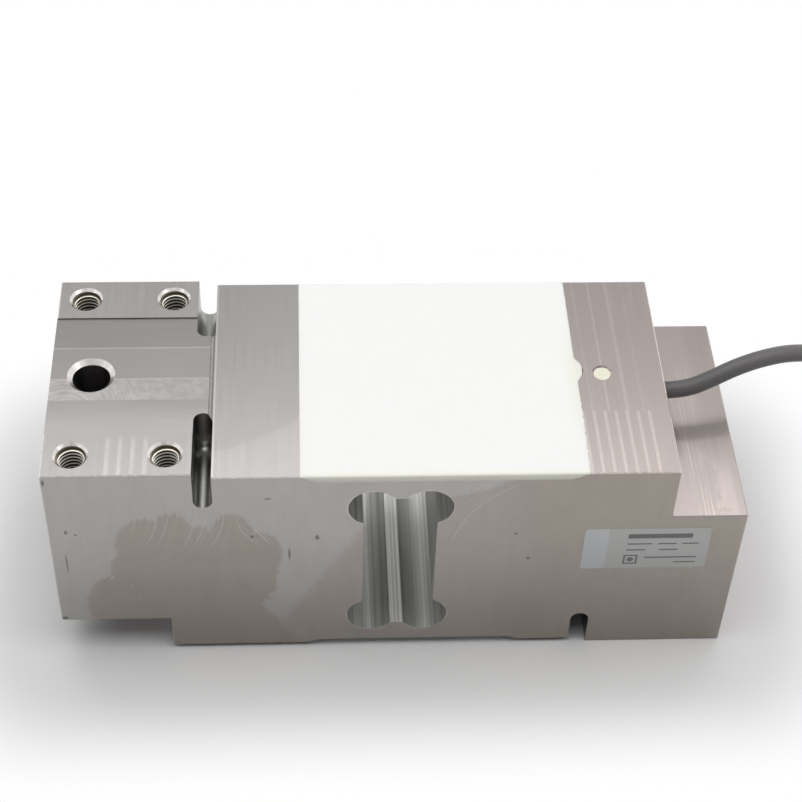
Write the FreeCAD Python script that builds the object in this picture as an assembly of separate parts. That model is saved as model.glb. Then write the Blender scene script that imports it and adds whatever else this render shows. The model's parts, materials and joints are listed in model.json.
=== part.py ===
import FreeCAD, Part
import math
import os

# Single point load cell, in millimetres.
# X runs along the block, from the load platform (-X) to the foot and the cable (+X).
# Y runs across it, and Z is up. The origin is under the block's middle, on the plane
# of the foot's two mounting pads.

V = FreeCAD.Vector
AXIS_X = V(1, 0, 0)
AXIS_Y = V(0, 1, 0)
AXIS_Z = V(0, 0, 1)

# ---- Measuring body ----
LENGTH = 191.0
WIDTH = 75.0
HEIGHT = 76.0
MID = HEIGHT / 2              # the ends are the same form turned half a turn about Y here
PAD_RISE = 1.5                # the mounting pads stand this far proud of the block
CHANNEL_DEPTH = 0.4           # between the two pads of an end
CHANNEL_WIDTH = 44.5
EDGE_BREAK = 0.3              # chamfer on the block's outer edges

SLOT_X = 53.25                # relief slots, from the middle
SLOT_WIDTH = 5.2              # ball-nose cutter
SLOT_DEPTH = 13.4             # below the pads
SLOT_INNER_END = 14.9         # from the centre plane
STEP_BLEND = 1.2              # run of the blend between channel floor and block

STEP_X = 74.6                 # end wall of the raised block, where the cable leaves
STEP_TOP = 56.2
RELIEF_X = -64.5              # start of the clearance under the platform
RELIEF_Z = 14.0

LOBE_RADIUS = 6.85            # four-lobed flexure cutout
LOBE_X = 7.5
LOBE_Z = 23.45                # above and below the middle
THROAT_HALF_WIDTH = 10.1
LAND_Z = 27.3                 # flat land between two lobes, above and below the middle
LAND_HALF_WIDTH = 3.0

HOLE_END_OFFSET = 7.67        # M8 mounting holes, from the block's end
HOLE_PITCH_X = 25.0
HOLE_PITCH_Y = 60.0
THREAD_DIAMETER = 8.0
THREAD_RIM = 9.5              # countersink at the mouth
THREAD_DEPTH = 20.0
DRILL_POINT = 59.0            # half of a drill's 118 degree point

STOP_BORE_X = -84.45          # plain bore for an overload stop
STOP_BORE = 10.5
STOP_BORE_RIM = 13.2

TOP_RECESS = (-27.2, 50.1)    # ends at the block's top face
TOP_RECESS_DEPTH = 2.2
BOTTOM_RECESS = (-26.1, 36.5)
BOTTOM_RECESS_DEPTH = 1.6
RECESS_RAMP = 4.0

# ---- Cable entry ----
CABLE = 5.0
CABLE_Z = 67.2
CABLE_BORE = 5.5
JACKET_END = 55.0             # the jacket stops here, past the fill port
FILL_PORT_X = 57.5
FILL_PORT = 4.8
FILL_PORT_RIM = 5.9
FILL_DROP = 0.35              # the compound has sunk this far in the port
POCKET_X = 47.9               # from the cable bore up into the recess
POCKET_Y = 1.0
POCKET = 8.5
WIRE_BORE_X = 20.0            # from the top recess to the bottom one
WIRE_BORE_Y = 20.0
WIRE_BORE = 2.6

# ---- Inside the recesses ----
FILM = (10.0, 7.0, 0.08)      # strain gauge carrier
FOIL = (6.0, 4.0, 0.04)
STRIP = (13.0, 4.0, 0.4)      # solder terminals
STRIP_Y = 11.0
BOARD = (16.0, 24.0, 0.8)
BOARD_X = 31.0
RESISTOR = (1.6, 3.2, 0.55)
JUMPER = 0.25
LINK_WIRE = 0.35
SOLDER = 0.02                 # a wire's height over what it is soldered to
CORE = 0.95                   # insulated core of the cable
CORE_CIRCLE = 1.6             # the six cores lie on a circle of this radius
CORE_COLOURS = ["blue", "black", "white", "red", "green", "grey"]
SHIELD_FOLD = 2.0
SEAL_LENGTH = 11.0            # of the compound round the jacket
BOTTOM_COAT = 1.1             # thickness of the compound in the bottom recess
COAT_INSET = 1.5              # and its distance from the block's side faces

LABEL = (35.2, 17.2, 0.1)
LABEL_CENTRE = (68.7, 42.8)

# ---- Free cable ----
# From the end wall down onto a round coil; the coil's lowest turn leads to the stripped end.
REST = CABLE / 2 + 0.05       # centreline height of a cable that lies on the surface
COIL_X = 195.0
COIL_Y = 9.5
COIL_LAYERS = 4
TURNS_PER_LAYER = 4.125
TURN_PITCH = 5.2
COIL_MEAN_RADIUS = 27.3
COIL_REACH = TURNS_PER_LAYER * TURN_PITCH / 2
COIL_OUTER = COIL_MEAN_RADIUS + COIL_REACH
COIL_INNER = COIL_MEAN_RADIUS - COIL_REACH
COIL_TOP = REST + (COIL_LAYERS - 1) * TURN_PITCH
ARRIVAL_Y = COIL_Y + COIL_OUTER
TAIL_Y = COIL_Y - COIL_OUTER
CABLE_ROUTE = [
    (STEP_X, 0.0, CABLE_Z),
    (81.6, 0.0, CABLE_Z),
    (89.1, 1.3, 68.5),
    (96.7, 4.4, 71.4),
    (104.9, 7.4, 72.4),
    (113.7, 10.6, 71.2),
    (124.0, 14.6, 66.6),
    (133.8, 20.2, 58.8),
    (142.6, 26.6, 48.8),
    (150.6, 33.0, 38.0),
    (159.0, 39.2, 28.2),
    (169.0, 44.2, 21.6),
    (179.4, 47.0, 18.7),
    (COIL_X - 6, ARRIVAL_Y, COIL_TOP),
]
TAIL_ROUTE = [
    (COIL_X - 13, TAIL_Y, REST),
    (COIL_X - 22, TAIL_Y - 0.3, 2.8),
    (COIL_X - 31, TAIL_Y - 2.4, 3.15),
]

# ---- Far end of the cable ----
SLEEVE = 6.2
SLEEVE_LENGTH = 11.0
LEAD_REACH = 22.0
LEAD_DRIFT = -5.0             # the leads' mean sideways run
LEAD_FAN = (-11.0, -7.0, -3.2, 3.4, 7.3, 11.0)
TINNED = 0.7
TINNED_LENGTH = 3.5


def save(name, shape):
    """Write one sub-part as a STEP file."""
    if not shape.isValid():
        raise ValueError(name + " is not valid")
    shape.exportStep("parts/" + name + ".step")
    print("%-24s %10.2f mm3, %d faces" % (name, shape.Volume, len(shape.Faces)))


def prism_along_y(points, y_from, y_to):
    """Extrude a side profile of (x, z) points from y_from to y_to."""
    corners = [V(x, y_from, z) for x, z in points]
    face = Part.Face(Part.makePolygon(corners + corners[:1]))
    return face.extrude(V(0, y_to - y_from, 0))


def cylinder(radius, start, direction, length):
    return Part.makeCylinder(radius, length, start, direction)


def block(size, centre):
    """A plain slab of size (x, y, z) with its middle at centre."""
    corner = V(*centre) - V(*size) / 2
    return Part.makeBox(size[0], size[1], size[2], corner)


def half_turn(shape):
    """The same form at the block's other end."""
    turned = shape.copy()
    turned.rotate(V(0, 0, MID), AXIS_Y, 180)
    return turned


def fuse_all(shapes):
    return shapes[0].multiFuse(shapes[1:]).removeSplitter()


def chamfer_outline(points, size):
    """Break each outward corner of a closed outline that runs clockwise."""
    outline = []
    for i, here in enumerate(points):
        before = V(points[i - 1][0] - here[0], points[i - 1][1] - here[1], 0)
        after = points[(i + 1) % len(points)]
        after = V(after[0] - here[0], after[1] - here[1], 0)
        outward = before.cross(after).z > 0
        if outward:
            for side in (before, after):
                step = side.normalize() * size
                outline.append((here[0] + step.x, here[1] + step.y))
        else:
            outline.append(here)
    return outline


# ---- The measuring body ----

def raw_block():
    """The sawn and faced block: side profile with its outer edges broken."""
    end = LENGTH / 2
    wall = SLOT_X - SLOT_WIDTH / 2
    profile = [
        (-end, RELIEF_Z),
        (-end, HEIGHT),
        (-wall, HEIGHT),
        (-wall, HEIGHT - PAD_RISE),
        (STEP_X, HEIGHT - PAD_RISE),
        (STEP_X, STEP_TOP),
        (end, STEP_TOP),
        (end, 0.0),
        (wall, 0.0),
        (wall, PAD_RISE),
        (RELIEF_X, PAD_RISE),
        (RELIEF_X, RELIEF_Z),
    ]
    solid = prism_along_y(chamfer_outline(profile, EDGE_BREAK), -WIDTH / 2, WIDTH / 2)
    side_edges = [
        edge for edge in solid.Edges
        if all(abs(abs(vertex.Y) - WIDTH / 2) < 1e-6 for vertex in edge.Vertexes)
        and abs(edge.Vertexes[0].Y - edge.Vertexes[-1].Y) < 1e-6
    ]
    return solid.makeChamfer(EDGE_BREAK, side_edges)


def channel_cut():
    """Shallow channel between the platform's pads, blended down to the block's top."""
    floor = HEIGHT - CHANNEL_DEPTH
    low = HEIGHT - PAD_RISE
    wall = -(SLOT_X - SLOT_WIDTH / 2)
    drop = floor - low
    corner_radius = (STEP_BLEND ** 2 + drop ** 2) / (2 * drop)
    middle = STEP_BLEND / 2
    sag = corner_radius - math.sqrt(corner_radius ** 2 - middle ** 2)
    y = -CHANNEL_WIDTH / 2
    blend = Part.Arc(
        V(wall - STEP_BLEND, y, floor),
        V(wall - middle, y, low + sag),
        V(wall, y, low),
    ).toShape()
    rest = Part.makePolygon([
        V(wall, y, low),
        V(wall, y, HEIGHT + 1),
        V(-LENGTH / 2 - 1, y, HEIGHT + 1),
        V(-LENGTH / 2 - 1, y, floor),
        V(wall - STEP_BLEND, y, floor),
    ])
    outline = Part.Wire([blend] + rest.Edges)
    return Part.Face(outline).extrude(V(0, CHANNEL_WIDTH, 0))


def slot_cut(side):
    """Ball-nose slot across the platform's root, open at one side face (side is 1 or -1)."""
    radius = SLOT_WIDTH / 2
    inner = SLOT_INNER_END + radius
    outer = WIDTH / 2 + 1
    floor = HEIGHT - SLOT_DEPTH + radius
    top = HEIGHT + 1
    end = V(-SLOT_X, side * inner, floor)
    web = block(
        (SLOT_WIDTH, outer - inner, top - floor),
        (-SLOT_X, side * (inner + outer) / 2, (top + floor) / 2),
    )
    return fuse_all([
        web,
        cylinder(radius, end, AXIS_Y * side, outer - inner),
        cylinder(radius, end, AXIS_Z, top - floor),
        Part.makeSphere(radius, end),
    ])


def threaded_hole(x, y):
    """Blind M8 hole in a pad, opening upwards, at the thread's outer diameter."""
    radius = THREAD_DIAMETER / 2
    rim = THREAD_RIM / 2
    point = radius / math.tan(math.radians(DRILL_POINT))
    outline = Part.makePolygon([
        V(0, 0, HEIGHT + 1),
        V(rim + 1, 0, HEIGHT + 1),
        V(radius, 0, HEIGHT - (rim - radius)),
        V(radius, 0, HEIGHT - THREAD_DEPTH),
        V(0, 0, HEIGHT - THREAD_DEPTH - point),
        V(0, 0, HEIGHT + 1),
    ])
    hole = Part.Face(outline).revolve(V(0, 0, 0), AXIS_Z, 360)
    hole.translate(V(x, y, 0))
    return hole


def end_cuts():
    """Everything that the platform and the foot have in common."""
    first = -LENGTH / 2 + HOLE_END_OFFSET
    holes = [
        threaded_hole(x, side * HOLE_PITCH_Y / 2)
        for x in (first, first + HOLE_PITCH_X)
        for side in (1, -1)
    ]
    return [channel_cut(), slot_cut(1), slot_cut(-1)] + holes


def flexure_cut():
    """Four-lobed cutout through the block: a throat with a pair of lobes at each end."""
    depth = WIDTH + 2
    y = -depth / 2
    lobes = [
        cylinder(LOBE_RADIUS, V(sx * LOBE_X, y, MID + sz * LOBE_Z), AXIS_Y, depth)
        for sx in (1, -1)
        for sz in (1, -1)
    ]
    throat = block((2 * THROAT_HALF_WIDTH, depth, 2 * LOBE_Z), (0, 0, MID))
    land = block((2 * LAND_HALF_WIDTH, depth, 2 * LAND_Z), (0, 0, MID))
    return fuse_all(lobes + [throat, land])


def recess_profile(ends, face_z, depth, ramp=RECESS_RAMP):
    """Full-width recess with ramped ends; depth is signed, into the block."""
    over = math.copysign(1.0, -depth)
    spill = ramp / abs(depth)
    return [
        (ends[0] - spill, face_z + over),
        (ends[0] + ramp, face_z + depth),
        (ends[1] - ramp, face_z + depth),
        (ends[1] + spill, face_z + over),
    ]


def stop_bore_cut():
    """Plain through bore in the platform, countersunk at the top."""
    radius = STOP_BORE / 2
    rim = STOP_BORE_RIM / 2
    floor = HEIGHT - CHANNEL_DEPTH
    centre = V(STOP_BORE_X, 0, 0)
    bore = cylinder(radius, centre + V(0, 0, RELIEF_Z - 1), AXIS_Z, HEIGHT)
    mouth = Part.makeCone(
        radius, rim + 1, rim + 1 - radius, centre + V(0, 0, floor - (rim - radius))
    )
    return fuse_all([bore, mouth])


def fill_port_cut():
    radius = FILL_PORT / 2
    rim = FILL_PORT_RIM / 2
    face = HEIGHT - PAD_RISE
    centre = V(FILL_PORT_X, 0, 0)
    bore = cylinder(radius, centre + V(0, 0, CABLE_Z), AXIS_Z, HEIGHT - CABLE_Z)
    mouth = Part.makeCone(
        radius, rim + 1, rim + 1 - radius, centre + V(0, 0, face - (rim - radius))
    )
    return fuse_all([bore, mouth])


def pocket_cut():
    """Well that leads the cable's cores from their bore up into the top recess."""
    low = CABLE_Z - CABLE_BORE / 2
    return cylinder(POCKET / 2, V(POCKET_X, POCKET_Y, low), AXIS_Z, HEIGHT - low)


def cable_bore_cut():
    return cylinder(CABLE_BORE / 2, V(POCKET_X, 0, CABLE_Z), AXIS_X, STEP_X - POCKET_X + 1)


def wire_bore_cut():
    return cylinder(WIRE_BORE / 2, V(WIRE_BORE_X, WIRE_BORE_Y, 0), AXIS_Z, HEIGHT)


def top_recess_cut():
    profile = recess_profile(TOP_RECESS, HEIGHT - PAD_RISE, -TOP_RECESS_DEPTH)
    return prism_along_y(profile, -WIDTH / 2 - 1, WIDTH / 2 + 1)


def bottom_recess_cut():
    profile = recess_profile(BOTTOM_RECESS, PAD_RISE, BOTTOM_RECESS_DEPTH)
    return prism_along_y(profile, -WIDTH / 2 - 1, WIDTH / 2 + 1)


def measuring_body():
    platform = end_cuts()
    foot = [half_turn(cut) for cut in platform]
    cuts = platform + foot + [
        flexure_cut(),
        top_recess_cut(),
        bottom_recess_cut(),
        stop_bore_cut(),
        fill_port_cut(),
        pocket_cut(),
        cable_bore_cut(),
        wire_bore_cut(),
    ]
    return raw_block().cut(cuts)


# ---- Strain gauges and wiring ----

TOP_FLOOR = HEIGHT - PAD_RISE - TOP_RECESS_DEPTH
BOTTOM_ROOF = PAD_RISE + BOTTOM_RECESS_DEPTH
BOARD_TOP = TOP_FLOOR + BOARD[2]


def stacked(size, x, y, base, side):
    """A flat piece on a recess floor: side is 1 on the top recess, -1 on the bottom one."""
    return block(size, (x, y, base + side * size[2] / 2))


def gauges(name, base, side):
    """The load-side and the foot-side gauge of one recess, over the thin bridges."""
    pieces = {}
    for place, x in (("load_side", -LOBE_X), ("foot_side", LOBE_X)):
        film = stacked(FILM, x, 0, base, side)
        foil = stacked(FOIL, x, 0, base + side * FILM[2], side)
        pieces["gauge_film_%s_%s" % (name, place)] = film
        pieces["gauge_foil_%s_%s" % (name, place)] = foil
    return pieces


def thin_wire(points, diameter):
    """A wire of straight runs with mitred corners."""
    path = Part.makePolygon([V(*point) for point in points])
    ring = Part.makeCircle(diameter / 2, V(*points[0]), V(*points[1]) - V(*points[0]))
    right_corners = 1
    return path.makePipeShell([Part.Wire(ring)], True, False, right_corners)


def rounded_path(points, least=0.0, report=None):
    """Straight runs joined by tangent arcs, each as large as its two runs allow."""
    corners = [V(*p) for p in points]
    edges = []
    radii = []
    start = corners[0]
    for before, here, after in zip(corners, corners[1:], corners[2:]):
        arriving = here - before
        leaving = after - here
        half_turn_angle = arriving.getAngle(leaving) / 2
        radius = 0.45 * min(arriving.Length, leaving.Length) / math.tan(half_turn_angle)
        setback = radius * math.tan(half_turn_angle)
        towards = arriving.normalize()
        away = leaving.normalize()
        inward = (away - towards).normalize()
        first = here - towards * setback
        last = here + away * setback
        middle = here + inward * radius * (1 / math.cos(half_turn_angle) - 1)
        edges.append(Part.LineSegment(start, first).toShape())
        edges.append(Part.Arc(first, middle, last).toShape())
        radii.append(radius)
        start = last
    edges.append(Part.LineSegment(start, corners[-1]).toShape())
    if report:
        print(report, "radii", " ".join("%.1f" % radius for radius in radii))
    if radii and min(radii) < least:
        raise ValueError("a bend is tighter than %.1f" % least)
    return Part.Wire(edges)


def tube(points, diameter, least=0.0, report=None):
    """A round tube along straight runs and tangent arcs, its volume tested."""
    path = rounded_path(points, least, report)
    ring = Part.makeCircle(diameter / 2, V(*points[0]), V(*points[1]) - V(*points[0]))
    solid = path.makePipeShell([Part.Wire(ring)], True, False)
    wanted = math.pi * diameter ** 2 / 4 * path.Length
    if abs(solid.Volume / wanted - 1) > 0.01:
        raise ValueError("tube volume %.2f, not %.2f" % (solid.Volume, wanted))
    if report:
        print(report, "length %.1f, volume %.1f" % (path.Length, solid.Volume))
    return solid


def jumper(start, end, rise):
    """A fine wire from one solder spot to another, lifted between them by rise."""
    middle = (V(*start) + V(*end)) / 2 + V(0, 0, rise)
    return thin_wire([start, tuple(middle), end], JUMPER)


def gauge_wires(base, side):
    """Two wires from each gauge's foil to the terminal strip of its recess."""
    on_foil = base + side * (FILM[2] + FOIL[2] + JUMPER / 2 + SOLDER)
    on_strip = base + side * (STRIP[2] + JUMPER / 2 + SOLDER)
    wires = []
    for x, landing in ((-LOBE_X, -4.5), (LOBE_X, 4.5)):
        for offset in (-1.5, 1.5):
            start = (x + offset, 1.5, on_foil)
            end = (landing + offset, STRIP_Y - 1.5, on_strip)
            wires.append(jumper(start, end, side * 0.5))
    return Part.Compound(wires)


def board_wires():
    """Four wires from the top terminal strip to the bridge board."""
    start_z = TOP_FLOOR + STRIP[2] + JUMPER / 2 + SOLDER
    end_z = BOARD_TOP + JUMPER / 2 + SOLDER
    wires = []
    for i in range(4):
        start = (STRIP[0] / 2 - 1, STRIP_Y - 0.2 + 0.6 * i, start_z)
        end = (BOARD_X - BOARD[0] / 2 + 1, -2 + 2 * i, end_z)
        wires.append(jumper(start, end, 0.4))
    return Part.Compound(wires)


def link_wires():
    """Four wires through the wire bore, from the bridge board to the bottom strip."""
    high = BOARD_TOP + LINK_WIRE / 2 + SOLDER
    low = BOTTOM_ROOF - STRIP[2] - LINK_WIRE / 2 - SOLDER
    board_x = BOARD_X - BOARD[0] / 2 + 1.5
    strip_x = STRIP[0] / 2 - 1
    spread = 0.6
    wires = []
    for dx, dy, board_y, strip_y in (
        (-spread, -spread, 7.4, 10.9),
        (-spread, spread, 8.6, 12.5),
        (spread, spread, 11.0, 11.7),
        (spread, -spread, 9.8, 10.1),
    ):
        x = WIRE_BORE_X + dx
        y = WIRE_BORE_Y + dy
        route = [(board_x, board_y, high), (x, y, high), (x, y, low), (strip_x, strip_y, low)]
        wires.append(thin_wire(route, LINK_WIRE))
    return Part.Compound(wires)


def trimming_resistors():
    pads = [
        block(RESISTOR, (BOARD_X - 3, y, BOARD_TOP + RESISTOR[2] / 2))
        for y in (-7.0, -1.5, 4.0)
    ]
    return Part.Compound(pads)


def core_place(i):
    """Centre of core i in the cable's section, as (y, z); cores are ranked from -Y to +Y."""
    angle = math.radians((210, 150, 270, 90, 30, 330)[i])
    return CORE_CIRCLE * math.cos(angle), CORE_CIRCLE * math.sin(angle)


def inner_core(i):
    """One core from the stripped jacket, up the well and onto the bridge board."""
    y, z = core_place(i)
    rank = i - 2.5
    well_y = POCKET_Y + 1.15 * rank
    landing_z = BOARD_TOP + CORE / 2 + SOLDER
    route = [
        (JACKET_END, y, CABLE_Z + z),
        (POCKET_X + 1.2 + 0.75 * z, y, CABLE_Z + z),
        (POCKET_X - 2.7, well_y, landing_z - 0.1),
        (BOARD_X + BOARD[0] / 2 - 1.5, 3 * rank, landing_z),
    ]
    return thin_wire(route, CORE)


def cable_inner_end():
    return cylinder(CABLE / 2, V(JACKET_END, 0, CABLE_Z), AXIS_X, STEP_X - JACKET_END)


def shield_fold():
    """The shield's braid, folded to a collar at the stripped end of the jacket."""
    start = V(JACKET_END - SHIELD_FOLD, 0, CABLE_Z)
    outer = cylinder(CABLE / 2, start, AXIS_X, SHIELD_FOLD)
    inner = cylinder(CABLE / 2 - 0.25, start, AXIS_X, SHIELD_FOLD)
    return outer.cut(inner)


# ---- Compounds and label ----

def top_cover_compound(embedded):
    """Fills the top recess flush, and the well under it, round the pieces in it."""
    ends = TOP_RECESS
    face = HEIGHT - PAD_RISE
    floor = face - TOP_RECESS_DEPTH
    profile = [
        (ends[0], face),
        (ends[0] + RECESS_RAMP, floor),
        (ends[1] - RECESS_RAMP, floor),
        (ends[1], face),
    ]
    fill = prism_along_y(profile, -WIDTH / 2, WIDTH / 2)
    low = CABLE_Z - CABLE_BORE / 2
    well = cylinder(POCKET / 2, V(POCKET_X, POCKET_Y, low), AXIS_Z, face - low)
    return fuse_all([fill, well]).cut(embedded)


def bottom_cover_compound(embedded):
    """A coat over the bottom recess, short of the block's side faces."""
    end = RECESS_RAMP * BOTTOM_COAT / BOTTOM_RECESS_DEPTH
    low = BOTTOM_ROOF - BOTTOM_COAT
    left = BOTTOM_RECESS[0] + RECESS_RAMP
    right = BOTTOM_RECESS[1] - RECESS_RAMP
    profile = [(left - end, low), (left, BOTTOM_ROOF), (right, BOTTOM_ROOF), (right + end, low)]
    half = WIDTH / 2 - COAT_INSET
    return prism_along_y(profile, -half, half).cut(embedded)


def fill_port_compound():
    """Poured in through the port: a plug and the seal round the cable's jacket."""
    top = HEIGHT - PAD_RISE - FILL_DROP
    plug = cylinder(FILL_PORT / 2, V(FILL_PORT_X, 0, CABLE_Z), AXIS_Z, top - CABLE_Z)
    seal = cylinder(CABLE_BORE / 2, V(JACKET_END, 0, CABLE_Z), AXIS_X, SEAL_LENGTH)
    return fuse_all([plug, seal]).cut(cable_inner_end())


def rating_label():
    x, z = LABEL_CENTRE
    y = -WIDTH / 2 - LABEL[2] / 2
    return block((LABEL[0], LABEL[2], LABEL[1]), (x, y, z))


# ---- The free cable and its stripped end ----

def cable_coil():
    """Outer shape of the wound turns."""
    inner = COIL_INNER - CABLE / 2
    outer = COIL_OUTER + CABLE / 2
    low = REST - CABLE / 2
    high = COIL_TOP + CABLE / 2
    bevel = 1.5
    outline = [
        (inner, low + bevel),
        (inner + bevel, low),
        (outer - bevel, low),
        (outer, low + bevel),
        (outer, high - bevel),
        (outer - bevel, high),
        (inner + bevel, high),
        (inner, high - bevel),
    ]
    corners = [V(x, 0, z) for x, z in outline]
    ring = Part.Face(Part.makePolygon(corners + corners[:1])).revolve(V(0, 0, 0), AXIS_Z, 360)
    ring.translate(V(COIL_X, COIL_Y, 0))
    return ring


def sleeve_end():
    """Middle of the sleeve's far end face."""
    along = V(*TAIL_ROUTE[-1]) - V(*TAIL_ROUTE[-2])
    return V(*TAIL_ROUTE[-1]) + along.normalize() * SLEEVE_LENGTH


def end_sleeve():
    start = V(*TAIL_ROUTE[-1])
    return cylinder(SLEEVE / 2, start, sleeve_end() - start, SLEEVE_LENGTH)


def lead_route(place, fan):
    """From the sleeve's end face down to the surface, fanned out sideways."""
    x, y, z = sleeve_end()
    y = y + place[0]
    z = z + place[1]
    sideways = LEAD_DRIFT + fan - place[0]
    on_surface = CORE / 2 + 0.12
    return [
        (x, y, z),
        (x - 6, y + 0.2 * sideways, z - 0.45 * (z - on_surface)),
        (x - 14, y + 0.6 * sideways, on_surface + 0.25),
        (x - LEAD_REACH, y + sideways, on_surface),
    ]


def tinned_end(route):
    """Bare tinned strands past the end of a lead's insulation."""
    end = V(*route[-1])
    along = end - V(*route[-2])
    return cylinder(TINNED / 2, end, along.normalize(), TINNED_LENGTH)


def cable_pieces():
    coil = cable_coil()
    sleeve = end_sleeve()
    least = 5 * CABLE
    pieces = {
        "cable_tube": tube(CABLE_ROUTE, CABLE, least=least, report="cable").cut(coil),
        "cable_coil": coil,
        "cable_tail": tube(TAIL_ROUTE, CABLE, least=least, report="tail").cut(coil),
        "end_sleeve": sleeve,
        "shield_tail": tube(lead_route((0.0, 0.0), 0.1), CORE).cut(sleeve),
    }
    tips = []
    for i, colour in enumerate(CORE_COLOURS):
        route = lead_route(core_place(i), LEAD_FAN[i])
        pieces["lead_" + colour] = tube(route, CORE).cut(sleeve)
        tips.append(tinned_end(route))
    pieces["tinned_lead_ends"] = Part.Compound(tips)
    wound = 2 * math.pi * COIL_MEAN_RADIUS * COIL_LAYERS * TURNS_PER_LAYER
    print("wound length %.0f" % wound)
    return pieces


def inner_pieces():
    """Everything under the two cover compounds."""
    top = gauges("top", TOP_FLOOR, 1)
    top["terminal_strip_top"] = stacked(STRIP, 0, STRIP_Y, TOP_FLOOR, 1)
    top["bridge_board"] = stacked(BOARD, BOARD_X, 0, TOP_FLOOR, 1)
    top["trimming_resistors"] = trimming_resistors()
    top["gauge_wires_top"] = gauge_wires(TOP_FLOOR, 1)
    top["board_wires"] = board_wires()
    for i, colour in enumerate(CORE_COLOURS):
        top["core_" + colour] = inner_core(i)
    bottom = gauges("bottom", BOTTOM_ROOF, -1)
    bottom["terminal_strip_bottom"] = stacked(STRIP, 0, STRIP_Y, BOTTOM_ROOF, -1)
    bottom["gauge_wires_bottom"] = gauge_wires(BOTTOM_ROOF, -1)
    return top, bottom, {"link_wires": link_wires()}


def main():
    os.makedirs("parts", exist_ok=True)
    top, bottom, between = inner_pieces()
    pieces = {
        "measuring_body": measuring_body(),
        "top_cover_compound": top_cover_compound(list(top.values()) + list(between.values())),
        "bottom_cover_compound": bottom_cover_compound(
            list(bottom.values()) + list(between.values())
        ),
        "fill_port_compound": fill_port_compound(),
        "rating_label": rating_label(),
        "cable_inner_end": cable_inner_end(),
        "shield_fold": shield_fold(),
    }
    for group in (top, bottom, between, cable_pieces()):
        pieces.update(group)
    for name, shape in pieces.items():
        save(name, shape)


main()
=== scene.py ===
import json
import math

import bmesh
import bpy
from mathutils import Matrix, Vector, noise

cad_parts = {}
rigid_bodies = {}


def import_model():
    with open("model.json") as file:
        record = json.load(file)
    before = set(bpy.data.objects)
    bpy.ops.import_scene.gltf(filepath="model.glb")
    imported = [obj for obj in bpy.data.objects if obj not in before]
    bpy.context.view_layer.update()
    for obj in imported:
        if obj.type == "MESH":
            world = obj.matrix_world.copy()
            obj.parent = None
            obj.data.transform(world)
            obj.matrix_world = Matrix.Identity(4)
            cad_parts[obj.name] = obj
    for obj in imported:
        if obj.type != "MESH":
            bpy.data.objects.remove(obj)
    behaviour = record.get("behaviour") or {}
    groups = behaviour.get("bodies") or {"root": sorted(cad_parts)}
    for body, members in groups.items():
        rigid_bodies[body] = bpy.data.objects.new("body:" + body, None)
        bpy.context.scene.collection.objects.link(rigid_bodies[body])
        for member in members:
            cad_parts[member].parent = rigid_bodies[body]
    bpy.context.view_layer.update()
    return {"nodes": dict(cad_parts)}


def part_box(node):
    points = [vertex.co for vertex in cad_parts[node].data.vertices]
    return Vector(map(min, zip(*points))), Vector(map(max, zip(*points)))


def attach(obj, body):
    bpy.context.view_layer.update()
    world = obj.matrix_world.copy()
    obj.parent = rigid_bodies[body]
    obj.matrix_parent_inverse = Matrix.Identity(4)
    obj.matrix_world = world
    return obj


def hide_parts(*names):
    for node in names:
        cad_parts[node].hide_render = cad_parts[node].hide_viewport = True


for leftover in list(bpy.data.objects):
    bpy.data.objects.remove(leftover)
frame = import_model()

# Looks of the single point load cell. The scene is in metres. The block's materials, its cover
# and its threads are worked out in millimetres, in the frame's axes: X runs along the block from
# the platform to the cable, Z is up.

MM = 0.001

# ---- sizes ----
body_low, body_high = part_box("measuring_body")
label_low, label_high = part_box("rating_label")
PAD_RISE = 1.5 * MM
TOP = body_high.z
BLOCK_TOP = TOP - PAD_RISE
FRONT = body_low.y
BACK = body_high.y

# ---- camera and cords ----

SENSOR = 36.0
LENS = 84.57
CAMERA_PLACE = Vector((-25.579, -366.359, 448.794)) * MM
CAMERA_RIGHT = Vector((0.99865347, -0.04274085, 0.02940196))
CAMERA_UP = Vector((0.01067207, 0.72389628, 0.68982627))
CAMERA_FORWARD = Vector((0.05076773, 0.68858361, -0.72337767))


def add_camera():
    """The photograph's view: place, direction and roll, with no shift."""
    data = bpy.data.cameras.new("camera")
    data.sensor_width = SENSOR
    data.lens = LENS
    data.clip_start = 0.01
    data.clip_end = 20.0
    camera = link(bpy.data.objects.new("camera", data))
    turn = Matrix((CAMERA_RIGHT, CAMERA_UP, -CAMERA_FORWARD)).transposed()
    camera.matrix_world = Matrix.Translation(CAMERA_PLACE) @ turn.to_4x4()
    bpy.context.scene.camera = camera


def link(obj):
    bpy.context.scene.collection.objects.link(obj)
    return obj


def spline_object(name, points, radius):
    """An open NURBS tube whose line lies near the points and starts and ends at them."""
    data = bpy.data.curves.new(name, "CURVE")
    data.dimensions = "3D"
    data.bevel_depth = radius
    data.bevel_resolution = 5
    data.resolution_u = 6
    data.use_fill_caps = True
    spline = data.splines.new("NURBS")
    spline.points.add(len(points) - 1)
    for spot, place in zip(spline.points, points):
        spot.co = (*place, 1.0)
    spline.order_u = 3
    spline.use_endpoint_u = True
    return link(bpy.data.objects.new(name, data))


CABLE = 5.0 * MM
EXIT = Vector((74.6, 0.0, 67.2)) * MM
REST = 2.55 * MM                      # height of a resting cable's centre
COIL_X = 195.0 * MM
COIL_Y = 9.5 * MM
COIL_LAYERS = 4
TURNS_PER_LAYER = 4.125
TURN_PITCH = 5.2 * MM
COIL_MEAN_RADIUS = 27.3 * MM
COIL_OUTER = COIL_MEAN_RADIUS + TURNS_PER_LAYER * TURN_PITCH / 2
COIL_TOP = REST + (COIL_LAYERS - 1) * TURN_PITCH
TAIL_Y = COIL_Y - COIL_OUTER
POINTS_PER_TURN = 16
CLIMB_FROM = 0.97                     # share of a layer after which the cable changes layer

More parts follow.
